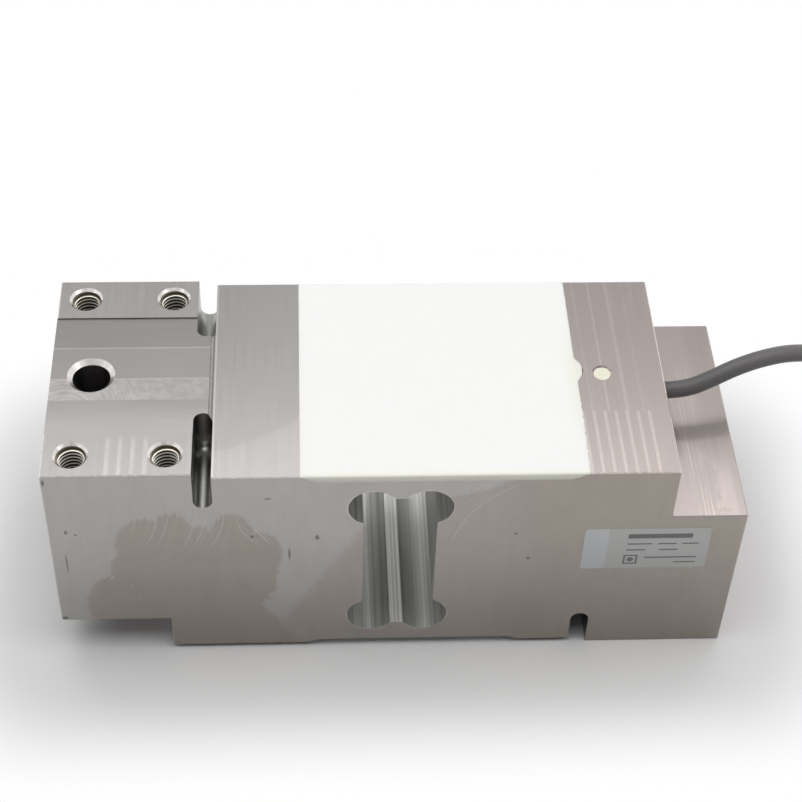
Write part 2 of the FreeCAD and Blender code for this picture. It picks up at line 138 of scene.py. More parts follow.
# From the end wall down to the coil, in millimetres.
CABLE_ROUTE = [
    tuple(EXIT / MM),
    (81.6, 0.0, 67.3),
    (89.1, 1.9, 69.5),
    (96.7, 4.6, 71.7),
    (104.9, 7.4, 72.4),
    (113.7, 10.6, 71.2),
    (124.0, 14.6, 66.6),
    (133.8, 20.2, 58.8),
    (142.6, 26.6, 48.8),
    (150.6, 33.0, 38.0),
    (159.0, 39.2, 28.2),
    (169.0, 44.2, 21.6),
    (179.4, 47.0, 18.7),
]
TAIL_ROUTE = [
    (COIL_X / MM - 13, TAIL_Y / MM, REST / MM),
    (COIL_X / MM - 22, TAIL_Y / MM - 0.3, 2.8),
    (COIL_X / MM - 31, TAIL_Y / MM - 2.4, 3.15),
]


def coil_points():
    """Four layers wound in turn, from the outer turn of the top one, clockwise from above."""
    points = []
    inward = True
    turned = 0.0
    steps = round(TURNS_PER_LAYER * POINTS_PER_TURN)
    for layer in range(COIL_LAYERS):
        height = COIL_TOP - layer * TURN_PITCH
        for step in range(steps):
            share = step / steps
            travel = share if inward else 1 - share
            radius = COIL_OUTER - TURN_PITCH * TURNS_PER_LAYER * travel
            angle = math.pi / 2 - turned
            climb = 0.0
            if layer < COIL_LAYERS - 1:
                climb = TURN_PITCH * max(0.0, (share - CLIMB_FROM) / (1 - CLIMB_FROM))
            points.append((
                COIL_X + radius * math.cos(angle),
                COIL_Y + radius * math.sin(angle),
                height - climb,
            ))
            turned += 2 * math.pi / POINTS_PER_TURN
        inward = not inward
    return points


def cable_points():
    lead_in = [Vector(place) * MM for place in CABLE_ROUTE]
    lead_out = [Vector(place) * MM for place in TAIL_ROUTE]
    return lead_in + [Vector(place) for place in coil_points()] + lead_out


LEAD = 0.95 * MM
CORE_CIRCLE = 1.6 * MM
SLEEVE_LENGTH = 11.0 * MM
LEAD_REACH = 22.0 * MM
LEAD_DRIFT = -5.0 * MM
# Each core: its insulation's colour, its angle in the cable and how far it fans out, in mm.
CORES = {
    "blue": ((0.03, 0.10, 0.45), 210, -11.0),
    "black": ((0.02, 0.02, 0.02), 150, -7.0),
    "white": ((0.82, 0.82, 0.80), 270, -3.2),
    "red": ((0.55, 0.03, 0.03), 90, 3.4),
    "green": ((0.03, 0.30, 0.08), 30, 7.3),
    "grey": ((0.33, 0.33, 0.33), 330, 11.0),
}
DRAIN_FAN = 0.1


def sleeve_end():
    last = Vector(TAIL_ROUTE[-1]) * MM
    along = (last - Vector(TAIL_ROUTE[-2]) * MM).normalized()
    return last + along * SLEEVE_LENGTH


def core_place(degrees):
    """A core's place in the cable's cross-section, sideways and up."""
    angle = math.radians(degrees)
    return CORE_CIRCLE * math.cos(angle), CORE_CIRCLE * math.sin(angle)


def lead_route(place, fan):
    """From the sleeve's end face down to the surface, fanned out sideways."""
    x, y, z = sleeve_end()
    y += place[0]
    z += place[1]
    sideways = LEAD_DRIFT + fan * MM - place[0]
    on_surface = LEAD / 2 + 0.12 * MM
    return [
        (x, y, z),
        (x - 6 * MM, y + 0.2 * sideways, z - 0.45 * (z - on_surface)),
        (x - 14 * MM, y + 0.6 * sideways, on_surface + 0.25 * MM),
        (x - LEAD_REACH, y + sideways, on_surface),
    ]


# ---- node graphs ----

class Number:
    """A scalar in a node graph; arithmetic on it adds Math nodes."""

    def __init__(self, graph, socket):
        self.graph = graph
        self.socket = socket

    def __add__(self, other):
        return self.graph.math("ADD", self, other)

    def __radd__(self, other):
        return self.graph.math("ADD", other, self)

    def __sub__(self, other):
        return self.graph.math("SUBTRACT", self, other)

    def __rsub__(self, other):
        return self.graph.math("SUBTRACT", other, self)

    def __mul__(self, other):
        return self.graph.math("MULTIPLY", self, other)

    def __rmul__(self, other):
        return self.graph.math("MULTIPLY", other, self)

    def __truediv__(self, other):
        return self.graph.math("DIVIDE", self, other)

    def __neg__(self):
        return self.graph.math("MULTIPLY", self, -1.0)


class Graph:
    """A material's node tree, or the world's, built from formulas."""

    def __init__(self, name, world_tree=None):
        self.tree = world_tree
        if world_tree is None:
            self.material = bpy.data.materials.new(name)
            self.material.use_nodes = True
            self.tree = self.material.node_tree
        self.tree.nodes.clear()
        kind = "ShaderNodeOutputWorld" if world_tree else "ShaderNodeOutputMaterial"
        self.output = self.tree.nodes.new(kind)

    def node(self, kind, **settings):
        made = self.tree.nodes.new(kind)
        for key, value in settings.items():
            setattr(made, key, value)
        return made

    def feed(self, socket, value):
        if isinstance(value, Number):
            self.tree.links.new(value.socket, socket)
        elif isinstance(value, bpy.types.NodeSocket):
            self.tree.links.new(value, socket)
        else:
            socket.default_value = value

    def math(self, operation, *values):
        made = self.node("ShaderNodeMath", operation=operation)
        for socket, value in zip(made.inputs, values):
            self.feed(socket, value)
        return Number(self, made.outputs[0])

    def most(self, *values):
        result = values[0]
        for value in values[1:]:
            result = self.math("MAXIMUM", result, value)
        return result

    def least(self, a, b):
        return self.math("MINIMUM", a, b)

    def size(self, a):
        return self.math("ABSOLUTE", a)

    def sine(self, a):
        return self.math("SINE", a)

    def ramp(self, value, low, high):
        """0 below low, 1 above high, smooth between them; falls where high is under low."""
        made = self.node("ShaderNodeMapRange", interpolation_type="SMOOTHSTEP")
        rises = high > low
        self.feed(made.inputs["Value"], value)
        made.inputs["From Min"].default_value = low if rises else high
        made.inputs["From Max"].default_value = high if rises else low
        made.inputs["To Min"].default_value = 0.0 if rises else 1.0
        made.inputs["To Max"].default_value = 1.0 if rises else 0.0
        return Number(self, made.outputs["Result"])

    def band(self, value, low, high, soft):
        """1 between low and high, 0 outside them."""
        return self.ramp(value, low - soft, low + soft) * self.ramp(value, high + soft, high - soft)

    def line(self, value, centre, width):
        """A soft line across value at centre."""
        return self.ramp(self.size(value - centre), width, 0.0)

    def place(self):
        """The point's place in millimetres, as x, y, z."""
        coordinates = self.node("ShaderNodeTexCoord")
        scaled = self.node("ShaderNodeVectorMath", operation="SCALE")
        self.tree.links.new(coordinates.outputs["Object"], scaled.inputs[0])
        scaled.inputs["Scale"].default_value = 1 / MM
        return self.split(scaled.outputs[0])

    def facing(self):
        """The surface's direction, as x, y, z."""
        geometry = self.node("ShaderNodeNewGeometry")
        return self.split(geometry.outputs["Normal"])

    def split(self, socket):
        made = self.node("ShaderNodeSeparateXYZ")
        self.tree.links.new(socket, made.inputs[0])
        return [Number(self, out) for out in made.outputs]

    def join(self, x, y, z):
        made = self.node("ShaderNodeCombineXYZ")
        for socket, value in zip(made.inputs, (x, y, z)):
            self.feed(socket, value)
        return made.outputs[0]

    def noise(self, x, y, z, detail=2.0, roughness=0.5):
        """Smooth noise, about 0.5, with features of about one unit of x, y and z."""
        made = self.node("ShaderNodeTexNoise")
        self.feed(made.inputs["Vector"], self.join(x, y, z))
        made.inputs["Scale"].default_value = 1.0
        made.inputs["Detail"].default_value = detail
        made.inputs["Roughness"].default_value = roughness
        return Number(self, made.outputs["Fac"])

    def ring_distance(self, u, v, centre_u, centre_v):
        """How far (u, v) is from a centre."""
        along_u = u - centre_u
        along_v = v - centre_v
        return self.math("SQRT", along_u * along_u + along_v * along_v)

    def seen(self):
        """1 for the rays that show the backdrop: camera, glossy and transmission rays."""
        rays = self.node("ShaderNodeLightPath")
        kinds = ("Is Camera Ray", "Is Glossy Ray", "Is Transmission Ray")
        return self.most(*(Number(self, rays.outputs[kind]) for kind in kinds))

    def blend(self, share, first, second):
        """A colour between two colours."""
        made = self.node("ShaderNodeMix", data_type="RGBA")
        self.feed(made.inputs[0], share)
        self.feed(made.inputs[6], first)
        self.feed(made.inputs[7], second)
        return made.outputs[2]

    def tinted(self, colour, tone):
        """A colour times a tone."""
        made = self.node("ShaderNodeVectorMath", operation="SCALE")
        if isinstance(colour, bpy.types.NodeSocket):
            self.tree.links.new(colour, made.inputs[0])
        else:
            made.inputs[0].default_value = colour[:3]
        self.feed(made.inputs["Scale"], tone)
        return made.outputs[0]

    def bump(self, height, distance, strength):
        """A bump from a height of 0 to 1 that stands for distance in millimetres."""
        made = self.node("ShaderNodeBump")
        made.inputs["Strength"].default_value = strength
        made.inputs["Distance"].default_value = distance * MM
        self.feed(made.inputs["Height"], height)
        return made.outputs[0]

    def finish(self, **sockets):
        """Joins a Principled shader to the output; a name's underscores are spaces."""
        shader = self.node("ShaderNodeBsdfPrincipled")
        for name, value in sockets.items():
            self.feed(shader.inputs[name.replace("_", " ")], value)
        self.tree.links.new(shader.outputs[0], self.output.inputs["Surface"])
        return self.material


def rgb(red, green, blue):
    """A colour from its values of 0 to 255 as a screen shows them."""
    def straight(value):
        value /= 255
        return value / 12.92 if value <= 0.04045 else ((value + 0.055) / 1.055) ** 2.4
    return (straight(red), straight(green), straight(blue), 1.0)


# ---- materials ----

# Places on the block, in millimetres, that its marks follow.
PAD_TOP = TOP / MM
FACE = BLOCK_TOP / MM                # the block's top, beside the pads
MID_HEIGHT = 38.0
SLOT_X = 53.25
SLOT_REACH = 2.65
SLOT_INNER_Y = 14.7
CHANNEL_REACH = 22.25
RECESS_LEFT = -27.2
RECESS_RIGHT = 50.1
RECESS_RAMP = 4.0
RECESS_DEPTH = 2.2
STEP_X = 74.6
THROAT_REACH = 14.5
LOBE_X = 7.5
LOBE_Z = 23.45
LOBE_RIM = 6.98
HOLE_X = (-87.83, -62.83)
HOLE_Y = (-30.0, 30.0)
STOP_BORE_X = -84.45
PORT_X = 57.5
WHOLE_TURN = 2 * math.pi

COOL = (0.455, 0.434, 0.424, 1.0)
WARM = (0.455, 0.403, 0.384, 1.0)
BROWN = (0.390, 0.349, 0.316, 1.0)
NEUTRAL = (0.440, 0.440, 0.428, 1.0)

# Round patches where the front's second pass overran the first: x, z and reach.
OVERRUNS = (
    (-69.4, 44.5, 8.5), (-62.3, 49.7, 6.5), (-56.3, 45.1, 6.2), (-45.9, 50.2, 6.0),
    (-38.1, 42.8, 5.7), (-65.6, 33.4, 9.3), (-55.2, 33.1, 9.9), (-44.1, 34.7, 10.4),
    (-80.0, 21.5, 7.4), (-75.5, 36.0, 4.6),
)
# Nicks in the front: x, z, half width and half height.
NICKS = (
    (-90.7, 53.0, 0.5, 0.8), (-88.1, 52.0, 0.4, 0.4), (-35.9, 65.9, 0.9, 0.3),
    (-30.4, 42.6, 0.3, 2.6), (-22.7, 49.5, 0.6, 1.1), (-40.5, 50.3, 0.5, 0.6),
    (36.1, 39.1, 0.6, 0.5), (32.0, 50.0, 0.5, 0.4), (-91.6, 40.0, 0.2, 4.0),
    (-94.7, 73.4, 0.5, 1.2), (-94.4, 15.2, 0.9, 0.7),
)


class Block:
    """The place, the faces and the grain that all of the block's marks are worked out from."""

    def __init__(self, graph):
        self.graph = graph
        self.x, self.y, self.z = graph.place()
        self.nx, self.ny, self.nz = graph.facing()
        self.up = self.faces(self.nz)
        self.front = self.faces(-self.ny)
        self.side = graph.most(self.front, self.faces(self.ny))
        self.end = self.faces(graph.size(self.nx))
        self.cloud = self.noise(0.05, 0.05, 0.05, 3.0, 0.5)
        self.speckle = self.noise(1.7, 1.7, 1.7, 4.0, 0.7)

    def faces(self, along):
        return self.graph.ramp(along, 0.75, 0.9)

    def noise(self, per_x, per_y, per_z, detail, roughness):
        """Noise with this many features to a millimetre along each axis."""
        return self.graph.noise(self.x * per_x, self.y * per_y, self.z * per_z, detail, roughness)

    def parts(self):
        return self.graph, self.x, self.y, self.z


def within(mask, tone):
    """A tone where the mask is 1, and no change where it is 0."""
    return 1.0 + mask * (tone - 1.0)


def slot_mask(block):
    """Walls of the relief slots: the upper one by the platform and the lower one by the foot."""
    g, x, y, z = block.parts()
    walls = g.band(g.size(x), SLOT_X - SLOT_REACH, SLOT_X + SLOT_REACH, 0.03) * (1 - block.side)
    walls = walls * g.ramp(g.size(z - MID_HEIGHT), MID_HEIGHT + 0.05, MID_HEIGHT - 0.1)
    walls = walls * (1 - block.up * g.ramp(z, FACE - 0.5, FACE - 0.2))
    walls = walls * g.ramp(g.size(y), SLOT_INNER_Y, SLOT_INNER_Y + 0.3)
    upper = g.ramp(x, 0.0, -1.0) * g.ramp(z, 61.0, 62.0)
    lower = g.ramp(x, 0.0, 1.0) * g.ramp(z, 15.0, 14.0)
    return walls * g.most(upper, lower)


def slot_painted_shade(block, slots):
    """Painted shade in the slots: darker towards the middle, and darkest in the foot's slot."""
    g, x, y, _ = block.parts()
    return 1.0 - slots * (0.1 + 0.3 * g.ramp(g.size(y), 29.0, 24.0) + 0.56 * g.ramp(x, 0.0, 1.0))


def throat_mask(block):
    g, x, _, z = block.parts()
    across = g.band(x, -THROAT_REACH, THROAT_REACH, 0.05)
    return across * (1 - block.side) * g.band(z, MID_HEIGHT - 31.0, MID_HEIGHT + 31.0, 0.3)


def throat_tone(block, throat, streak):
    """Flexure cutout: streaks along Y that the end mill left, and grooves on its land."""
    g, x, y, z = block.parts()
    land = g.band(x, -1.6, 1.9, 0.1)
    grooves = g.ramp(g.sine(x * (WHOLE_TURN / 1.05) + 0.6), 0.3, 0.95) * land
    grooves = grooves * g.ramp(z, 11.6, 11.2) * g.ramp(y, 10.0, -8.0)
    return within(throat, 1.50 + 2.1 * (streak - 0.5) + 0.4 * grooves + 0.22 * land)


def channel_mask(block):
    g, x, y, z = block.parts()
    across = g.band(y, -CHANNEL_REACH, CHANNEL_REACH, 0.05)
    return block.up * across * g.ramp(x, -51.6, -51.9) * g.ramp(z, 70, 72)


def channel_tone(block, channel):
    """Channel between the pads: passes along X, one of them with the cutter's arcs; a painted
    highlight towards the front, and a painted dark reflection on the blend strip by the block.
    """
    g, x, y, z = block.parts()
    edge_glint = 0.6 + 0.8 * g.noise(x * 0.35, 2.0, 9.0, 3.0, 0.7)
    pass_edges = (g.line(y, 10.45, 0.4) + 0.8 * g.line(y, -1.6, 0.35)) * edge_glint
    jagged = y + 1.6 * (g.noise(x * 0.45, y * 0.2, 3.0, 4.0, 0.75) - 0.5)
    arcs_pass = g.band(jagged, -9.6, -1.7, 0.25)
    radius = g.ring_distance(x, y * 0.8, -91.0, -13.0)
    arcs = g.ramp(g.noise(radius * 1.25, 1.0, 2.0, 3.0, 0.6), 0.42, 0.62)
    torn_arcs = g.ramp(g.noise(x * 0.3, y * 0.3, 13.0, 4.0, 0.75), 0.4, 0.62)
    floor_tone = (
        0.78
        + 0.07 * g.ramp(y, 10.6, 9.8)
        + 0.07 * arcs_pass
        + 0.20 * arcs_pass * arcs * g.ramp(x, -64.0, -80.0)
        + 0.15 * arcs_pass * torn_arcs
        # lighter towards the front: a painted highlight, as on the other tops
        + 0.16 * g.ramp(y, -8.0, -21.0)
        + 0.42 * pass_edges
    )
    # painted dark reflection on the blend strip beside the block
    blend_strip_dark_reflection = g.band(x, -51.85, -50.75, 0.06) * g.ramp(g.size(y), 17.6, 17.4)
    blend_strip_dark_reflection = blend_strip_dark_reflection * g.ramp(z, FACE - 0.2, FACE - 0.05)
    return within(channel, floor_tone) * (1.0 - 0.42 * blend_strip_dark_reflection)


def pad_tone(block):
    """Pads: short bright streaks across the front one."""
    g, x, y, _ = block.parts()
    front_pad = block.up * g.ramp(y, -22.2, -22.3) * g.ramp(x, -50.0, -55.9)
    sway = x + 0.35 * (g.noise(0.0, y * 0.3, 4.0) - 0.5)
    streaks = g.ramp(g.sine((sway + 75.7) * (WHOLE_TURN / 3.35)), -0.1, 1.0)
    streaks = streaks * (0.35 + 0.9 * g.noise(x * 0.9, y * 0.35, 0.0))
    streaks = streaks * g.band(x, -80.5, -66.5, 1.5)
    return 1.0 + front_pad * (-0.01 + 0.24 * streaks * g.ramp(y, -22.5, -26.0))


def cable_side_tone(block):
    """Top on the cable's side: long faint streaks, and short ones in the last pass."""
    g, x, y, z = block.parts()
    top = block.up * g.ramp(x, 49.0, 49.5) * g.ramp(z, FACE - 0.5, FACE - 0.3)
    wander = x + 0.3 * (g.noise(0.0, y * 0.25, 5.0) - 0.5) + 0.012 * (y - 5.0)
    long_streaks = (
        0.6 * g.line(wander, 52.9, 0.6) + 1.3 * g.line(wander, 57.5, 0.5)
        + g.line(wander, 62.7, 0.9) + 0.35 * g.line(wander, 67.2, 0.8)
    )
    short_streaks = g.ramp(g.sine((wander - 55.5) * (WHOLE_TURN / 3.05)), 0.25, 1.0)
    short_streaks = short_streaks * g.ramp(y, -14.4, -14.9) * g.ramp(x, 70.6, 69.2)
    mottle = 0.2 + 1.3 * g.noise(x * 0.3, y * 0.9, 7.0, 3.0, 0.7)
    return 1.0 + top * mottle * (
        0.17 * long_streaks * g.ramp(y, -16.0, -13.5)
        + 0.27 * short_streaks
        + 0.05 * g.line(y, -14.6, 0.25)
    )


def platform_side_tone(block):
    """Top on the platform's side: a swept pass edge, soft bands along Y by the cover, and a painted
    highlight along the block's left edge.
    """
    g, x, y, z = block.parts()
    top = block.up * g.ramp(x, RECESS_LEFT + 0.4, RECESS_LEFT) * g.ramp(x, -50.7, -50.4)
    top = top * g.ramp(z, FACE - 0.5, FACE - 0.3)
    bands = g.noise(x * 0.7, y * 0.03, 11.0, 2.0, 0.5)
    sweep_edge = y + 29.0 - 0.017 * (x + 56.0) * (x + 56.0) + 5.0 * (block.cloud - 0.5)
    return 1.0 + top * (
        -0.05 * g.ramp(x, -34.0, -48.0) * g.ramp(y, -24.0, 20.0)
        + 0.10 * g.ramp(sweep_edge, 2.0, -2.0) * (0.5 + bands)
        + 0.14 * g.line(sweep_edge, 0.0, 0.5) * block.speckle
        # painted highlight along the block's left edge by the channel
        + 0.45 * g.line(x, -50.45, 0.5)
    )


def step_tone(block):
    """Step beside the cable: a strip by the wall darkened as a painted dark reflection, fine lines
    along Y, torn patches.
    """
    g, x, y, z = block.parts()
    step = block.up * g.ramp(x, STEP_X - 0.1, STEP_X + 0.2) * g.ramp(z, 60.0, 58.0)
    lines = g.ramp(g.noise(x * 1.9, y * 0.02, 17.0, 2.0, 0.6), 0.5, 0.68)
    lines = lines * g.band(x, 81.5, 87.0, 0.5) * g.ramp(y, 24.0, 4.0)
    lines = lines * (0.4 + 1.1 * g.noise(x * 0.5, y * 0.4, 21.0, 3.0, 0.6))
    torn = g.noise(x * 0.6, y * 0.35, 19.0, 4.0, 0.7)
    patch = g.ramp(torn + (x - 88.0) * 0.05, 0.5, 0.6) * g.ramp(y, -14.0, -24.0)
    patch = patch * g.ramp(x, 94.0, 92.5)
    crescent = g.line(g.ring_distance(x, y, 74.0, -26.0), 16.5, 1.4) * g.ramp(x, 79.0, 84.0)
    return 1.0 + step * (
        0.07 + 0.46 * lines + 0.13 * patch + 0.08 * crescent * torn
        # painted dark reflection in a strip by the wall
        - 0.16 * g.ramp(x + 0.06 * y, 80.6, 79.2) * g.ramp(y, -17.0, -13.0)
        - 0.07 * g.ramp(x + 0.05 * y, 88.0, 90.5) * g.ramp(y, -4.0, 10.0)
    )


def overrun(block):
    """Where the front's second pass went over the first, and the strokes along its edge."""
    g, x, _, z = block.parts()
    arcs_up = x - 0.42 * (z - 48.0) + 0.012 * (z - 48.0) * (z - 48.0)
    arcs_down = x + 0.65 * (z - 56.0)
    arc = arcs_up + g.ramp(x, -48.0, -41.0) * (arcs_down - arcs_up)
    feather = g.noise(arc * 0.8, z * 0.05, 25.0, 3.0, 0.65) - 0.5
    rough_edge = 3.0 * feather + 1.2 * (g.noise(x * 0.4, z * 0.25, 23.0, 4.0, 0.75) - 0.5)
    squeeze = 0.61
    over = 0.0
    for centre_x, centre_z, reach in OVERRUNS:
        distance = g.ring_distance(x, z * squeeze, centre_x, centre_z * squeeze)
        over = g.most(over, g.ramp(distance, reach + 2.2, reach - 2.6))
    over = g.ramp(over + 1.1 * feather, 0.28, 0.66)
    lower = g.ramp(z + rough_edge, 28.0, 21.0) * g.ramp(x, -88.5, -83.0)
    lower = lower * g.ramp(x + 0.69 * z + rough_edge, -23.6, -26.0)
    slant = x - 0.553 * z - 28.0 * g.ramp(z, 57.0, 72.0) + 1.6 * rough_edge
    beyond = g.ramp(slant, -41.8, -37.2) * (0.7 + 0.3 * g.ramp(x, 14.0, 44.0))
    strokes = g.ramp(g.noise(arc * 1.05, 27.0, 0.0, 2.0, 0.6), 0.50, 0.64)
    strokes = strokes * g.band(x, -72.0, -35.0, 2.0) * g.band(z + 2.0 * rough_edge, 46.5, 58.5, 2.5)
    return g.most(over, lower, beyond) * (1.0 - 0.7 * strokes), strokes


def front_tone(block, strokes):
    """Front: the cutter's arcs, scratches and haze, with painted light and shade: lighter towards
    the top, painted highlights on the lobes' rims, and a painted line of shade under the top edges.
    """
    g, x, y, z = block.parts()
    sweep = g.ring_distance(x, z, 47.9, 40.7)
    fine_arcs = g.ramp(g.noise(sweep * 1.5, 29.0, 0.0, 2.0, 0.6), 0.52, 0.68)
    fine_arcs = fine_arcs * g.band(sweep, 34.5, 43.5, 1.5) * g.ramp(x, 36.0, 20.0)
    fine_arcs = fine_arcs * g.ramp(z, 56.0, 64.0)
    bright_arc = g.line(sweep, 34.0, 0.4) * g.ramp(x, 36.0, 27.0) * g.ramp(z, 43.0, 50.0)
    scratched = g.ramp(g.noise(x * 2.3, y, z * 0.25, 3.0, 0.7), 0.62, 0.75)
    scratched = scratched * g.ramp(block.cloud, 0.45, 0.6)
    swirl = g.noise(g.ring_distance(x, z, 30.0, 70.0) * 0.9, 33.0, 0.0, 3.0, 0.6)
    from_lobe = g.ring_distance(g.size(x), g.size(z - MID_HEIGHT), LOBE_X, LOBE_Z)
    # painted highlight on the lobes' rims
    lobe_rim_glint = g.line(from_lobe, LOBE_RIM, 0.22)
    lobe_rim_glint = lobe_rim_glint * g.ramp(g.noise(x * 0.25, 47.0, z * 0.25, 2.0, 0.5), 0.4, 0.6)
    tone = (
        # lighter towards the top: a painted reflection
        0.82 + 0.06 * g.ramp(z, 20.0, 60.0)
        + 0.09 * fine_arcs + 0.15 * bright_arc + 0.05 * strokes
        + 0.05 * scratched + 0.05 * (swirl - 0.5)
        + 0.10 * (g.noise(x * 0.3, 43.0, z * 0.05, 3.0, 0.6) - 0.5)
        + 0.10 * (g.noise(x * 0.07, 45.0, z * 0.09, 4.0, 0.65) - 0.5)
        + 0.5 * lobe_rim_glint
    )
    # painted shade: a dark line under the top edges
    beside_cover = g.ramp(x, -24.0, -28.0) * g.ramp(x, -52.0, -50.0)
    top_edge_shade = g.most(
        g.band(z, PAD_TOP - 0.38, PAD_TOP + 0.1, 0.06) * g.ramp(x, -50.0, -52.0),
        g.band(z, FACE - 0.38, FACE + 0.1, 0.06) * g.ramp(x, 50.0, 52.0),
        g.band(z, FACE - 0.35, FACE + 0.1, 0.06) * beside_cover,
    )
    return within(block.front, tone * (1.0 - 0.6 * top_edge_shade))


def nick_marks(block):
    g, x, _, z = block.parts()
    nicks = 0.0
    for nick_x, nick_z, wide, tall in NICKS:
        spot = g.ring_distance((x - nick_x) / wide, (z - nick_z) / tall, 0.0, 0.0)
        nicks = g.most(nicks, g.ramp(spot + 1.2 * (block.speckle - 0.5), 1.3, 0.5))
    return nicks * block.front


def chamfer_tone(block):
    """Chamfers of the bores, lightened as a painted highlight, with the countersink's chatter;
    painted shade on the fill port's rim, darkest on its back side, and on the stop bore's upper
    wall.
    """
    g, x, y, z = block.parts()
    upper = g.ramp(z, 73.0, 73.3)
    chamfered = g.band(block.nz, 0.3, 0.85, 0.1) * upper
    stop_ring = g.ring_distance(x, y, STOP_BORE_X, 0.0)
    chatter = g.noise(g.math("ARCTAN2", y, x - STOP_BORE_X) * 2.2, 41.0, 0.0, 2.0, 0.5)
    rough_rim = g.noise(x * 0.8, y * 0.8, 49.0, 2.0, 0.6)
    # the chamfers lightened: a painted highlight
    tone = 1.75 + 1.3 * (chatter - 0.5) * g.ramp(stop_ring, 8.0, 7.0)
    tone = tone + 1.6 * (rough_rim - 0.5) * g.ramp(stop_ring, 7.0, 8.0)
    # painted shade on the fill port's rim
    port_rim_shade = g.ramp(g.ring_distance(x, y, PORT_X, 0.0), 3.2, 3.0) * upper
    tone = tone - port_rim_shade * (0.5 + 0.55 * g.ramp(y, 0.0, 1.5))
    # painted shade on the stop bore's upper wall
    bore_shade = g.ramp(stop_ring, 5.4, 5.3) * g.ramp(z, FACE - 0.3, FACE - 0.5)
    return within(chamfered, tone) * (1.0 - 0.3 * bore_shade)


def milled_aluminium():
    """The block: faces milled in passes, with the marks that each cutter left, and painted light
    and shade.
    """
    g = Graph("milled_aluminium")
    block = Block(g)
    channel = channel_mask(block)
    throat = throat_mask(block)
    slots = slot_mask(block)
    over, strokes = overrun(block)
    nicks = nick_marks(block)
    streak = g.noise(block.x * 0.95, 37.0, block.z * 0.95, 3.0, 0.65)

    # Fine grain of the cutters, along the pass.
    grain_y = block.noise(3.1, 0.05, 3.1, 3.0, 0.6)
    grain_x = block.noise(0.05, 3.1, 3.1, 3.0, 0.6)
    grain_z = block.noise(2.6, 2.6, 0.08, 3.0, 0.6)
    upright = g.most(block.side, block.end)
    grain = grain_y + upright * (grain_z - grain_y) + channel * (grain_x - grain_y)

    tone = (0.94 + 0.12 * grain) * (0.97 + 0.06 * block.cloud)
    for marks in (
        channel_tone(block, channel), pad_tone(block), cable_side_tone(block),
        platform_side_tone(block), step_tone(block), front_tone(block, strokes),
        throat_tone(block, throat, streak), chamfer_tone(block), slot_painted_shade(block, slots),
        # the last mark: tops lighter towards the front, a painted highlight
        1.0 - 0.55 * nicks, 1.0 + block.up * 0.05 * g.ramp(block.y, 10.0, -37.0),
    ):
        tone = tone * marks

    warmth = g.ramp(block.x + 14.0 * (block.cloud - 0.5), -20.0, 70.0)
    base = g.blend(warmth * (1.0 - block.side), COOL, WARM)
    base = g.blend(block.front * over, base, BROWN)
    base = g.blend(g.most(throat, slots), base, NEUTRAL)
    roughness = (
        0.31 + 0.10 * (grain - 0.5) + 0.06 * (block.speckle - 0.5)
        + 0.12 * block.side + 0.12 * throat
    )
    height = 0.6 * grain + 0.3 * block.speckle - 1.5 * nicks + 0.25 * throat * streak
    return g.finish(
        Base_Color=g.tinted(base, tone), Metallic=1.0, Roughness=roughness,
        Normal=g.bump(height, 0.035, 0.55),
    )


def tapped_aluminium():
    """Threads, in the axes of one hole: painted highlights on the crests, painted shade in the
    roots and deeper down.
    """
    g = Graph("tapped_aluminium")
    x, y, z = g.place()
    # painted highlight on the crests and painted shade in the roots
    crest = g.ramp(g.ring_distance(x, y, 0.0, 0.0), 3.78, 3.45)
    # painted shade deeper down the hole
    deep = g.ramp(z, -3.0, -11.0)
    grain = g.noise(x * 4.0, y * 4.0, z * 4.0, 3.0, 0.6)
    shaded_root = (0.15, 0.125, 0.09, 1.0)
    highlit_crest = (0.86, 0.82, 0.76, 1.0)
    metal = g.blend(crest, shaded_root, highlit_crest)
    return g.finish(
        Base_Color=g.tinted(metal, (0.85 + 0.3 * grain) * (1.0 - 0.6 * deep)), Metallic=1.0,
        Roughness=0.34 + 0.15 * grain, Normal=g.bump(grain, 0.02, 0.4),
    )


def poured_compound(name, colour, edge_colour, gloss, lumps):
    """Self-levelling silicone: a skin with slow waves, a few dimples and creamier edges."""
    g = Graph(name)
    x, y, z = g.place()
    swell = g.noise(x * 0.045, y * 0.045, z * 0.2, 2.0, 0.4)
    fine = g.noise(x * 0.9, y * 0.9, z * 0.9, 3.0, 0.5)
    right_rim = g.ramp(x, RECESS_RIGHT - 5.1, RECESS_RIGHT + 0.4)
    right_rim = right_rim * g.ramp(g.size(y + 3.0), 26.0, 6.0)
    rim = g.most(right_rim, g.ramp(y, FRONT / MM + 2.3, FRONT / MM + 0.3))
    skin = g.blend(g.least(0.75 * rim + 0.12 * (swell + fine - 1.0), 1.0), colour, edge_colour)
    return g.finish(
        Base_Color=skin, Roughness=gloss + 0.12 * (fine - 0.5),
        Subsurface_Weight=0.12, Subsurface_Radius=(0.004, 0.0035, 0.003), Subsurface_Scale=0.4,
        Normal=g.bump(0.8 * swell + lumps * fine, 0.6, 0.25),
    )


def plain_plastic(name, colour, roughness, grain_size=0.6):
    """A moulded or extruded plastic with a fine grain."""
    g = Graph(name)
    x, y, z = g.place()
    grain = g.noise(x / grain_size, y / grain_size, z / grain_size, 3.0, 0.6)
    patch = g.noise(x * 0.12, y * 0.12, z * 0.12, 2.0, 0.5)
    tone = 0.92 + 0.08 * grain + 0.08 * patch
    return g.finish(
        Base_Color=g.tinted(colour, tone), Roughness=roughness + 0.12 * (grain - 0.5),
        Normal=g.bump(grain, 0.02, 0.4),
    )


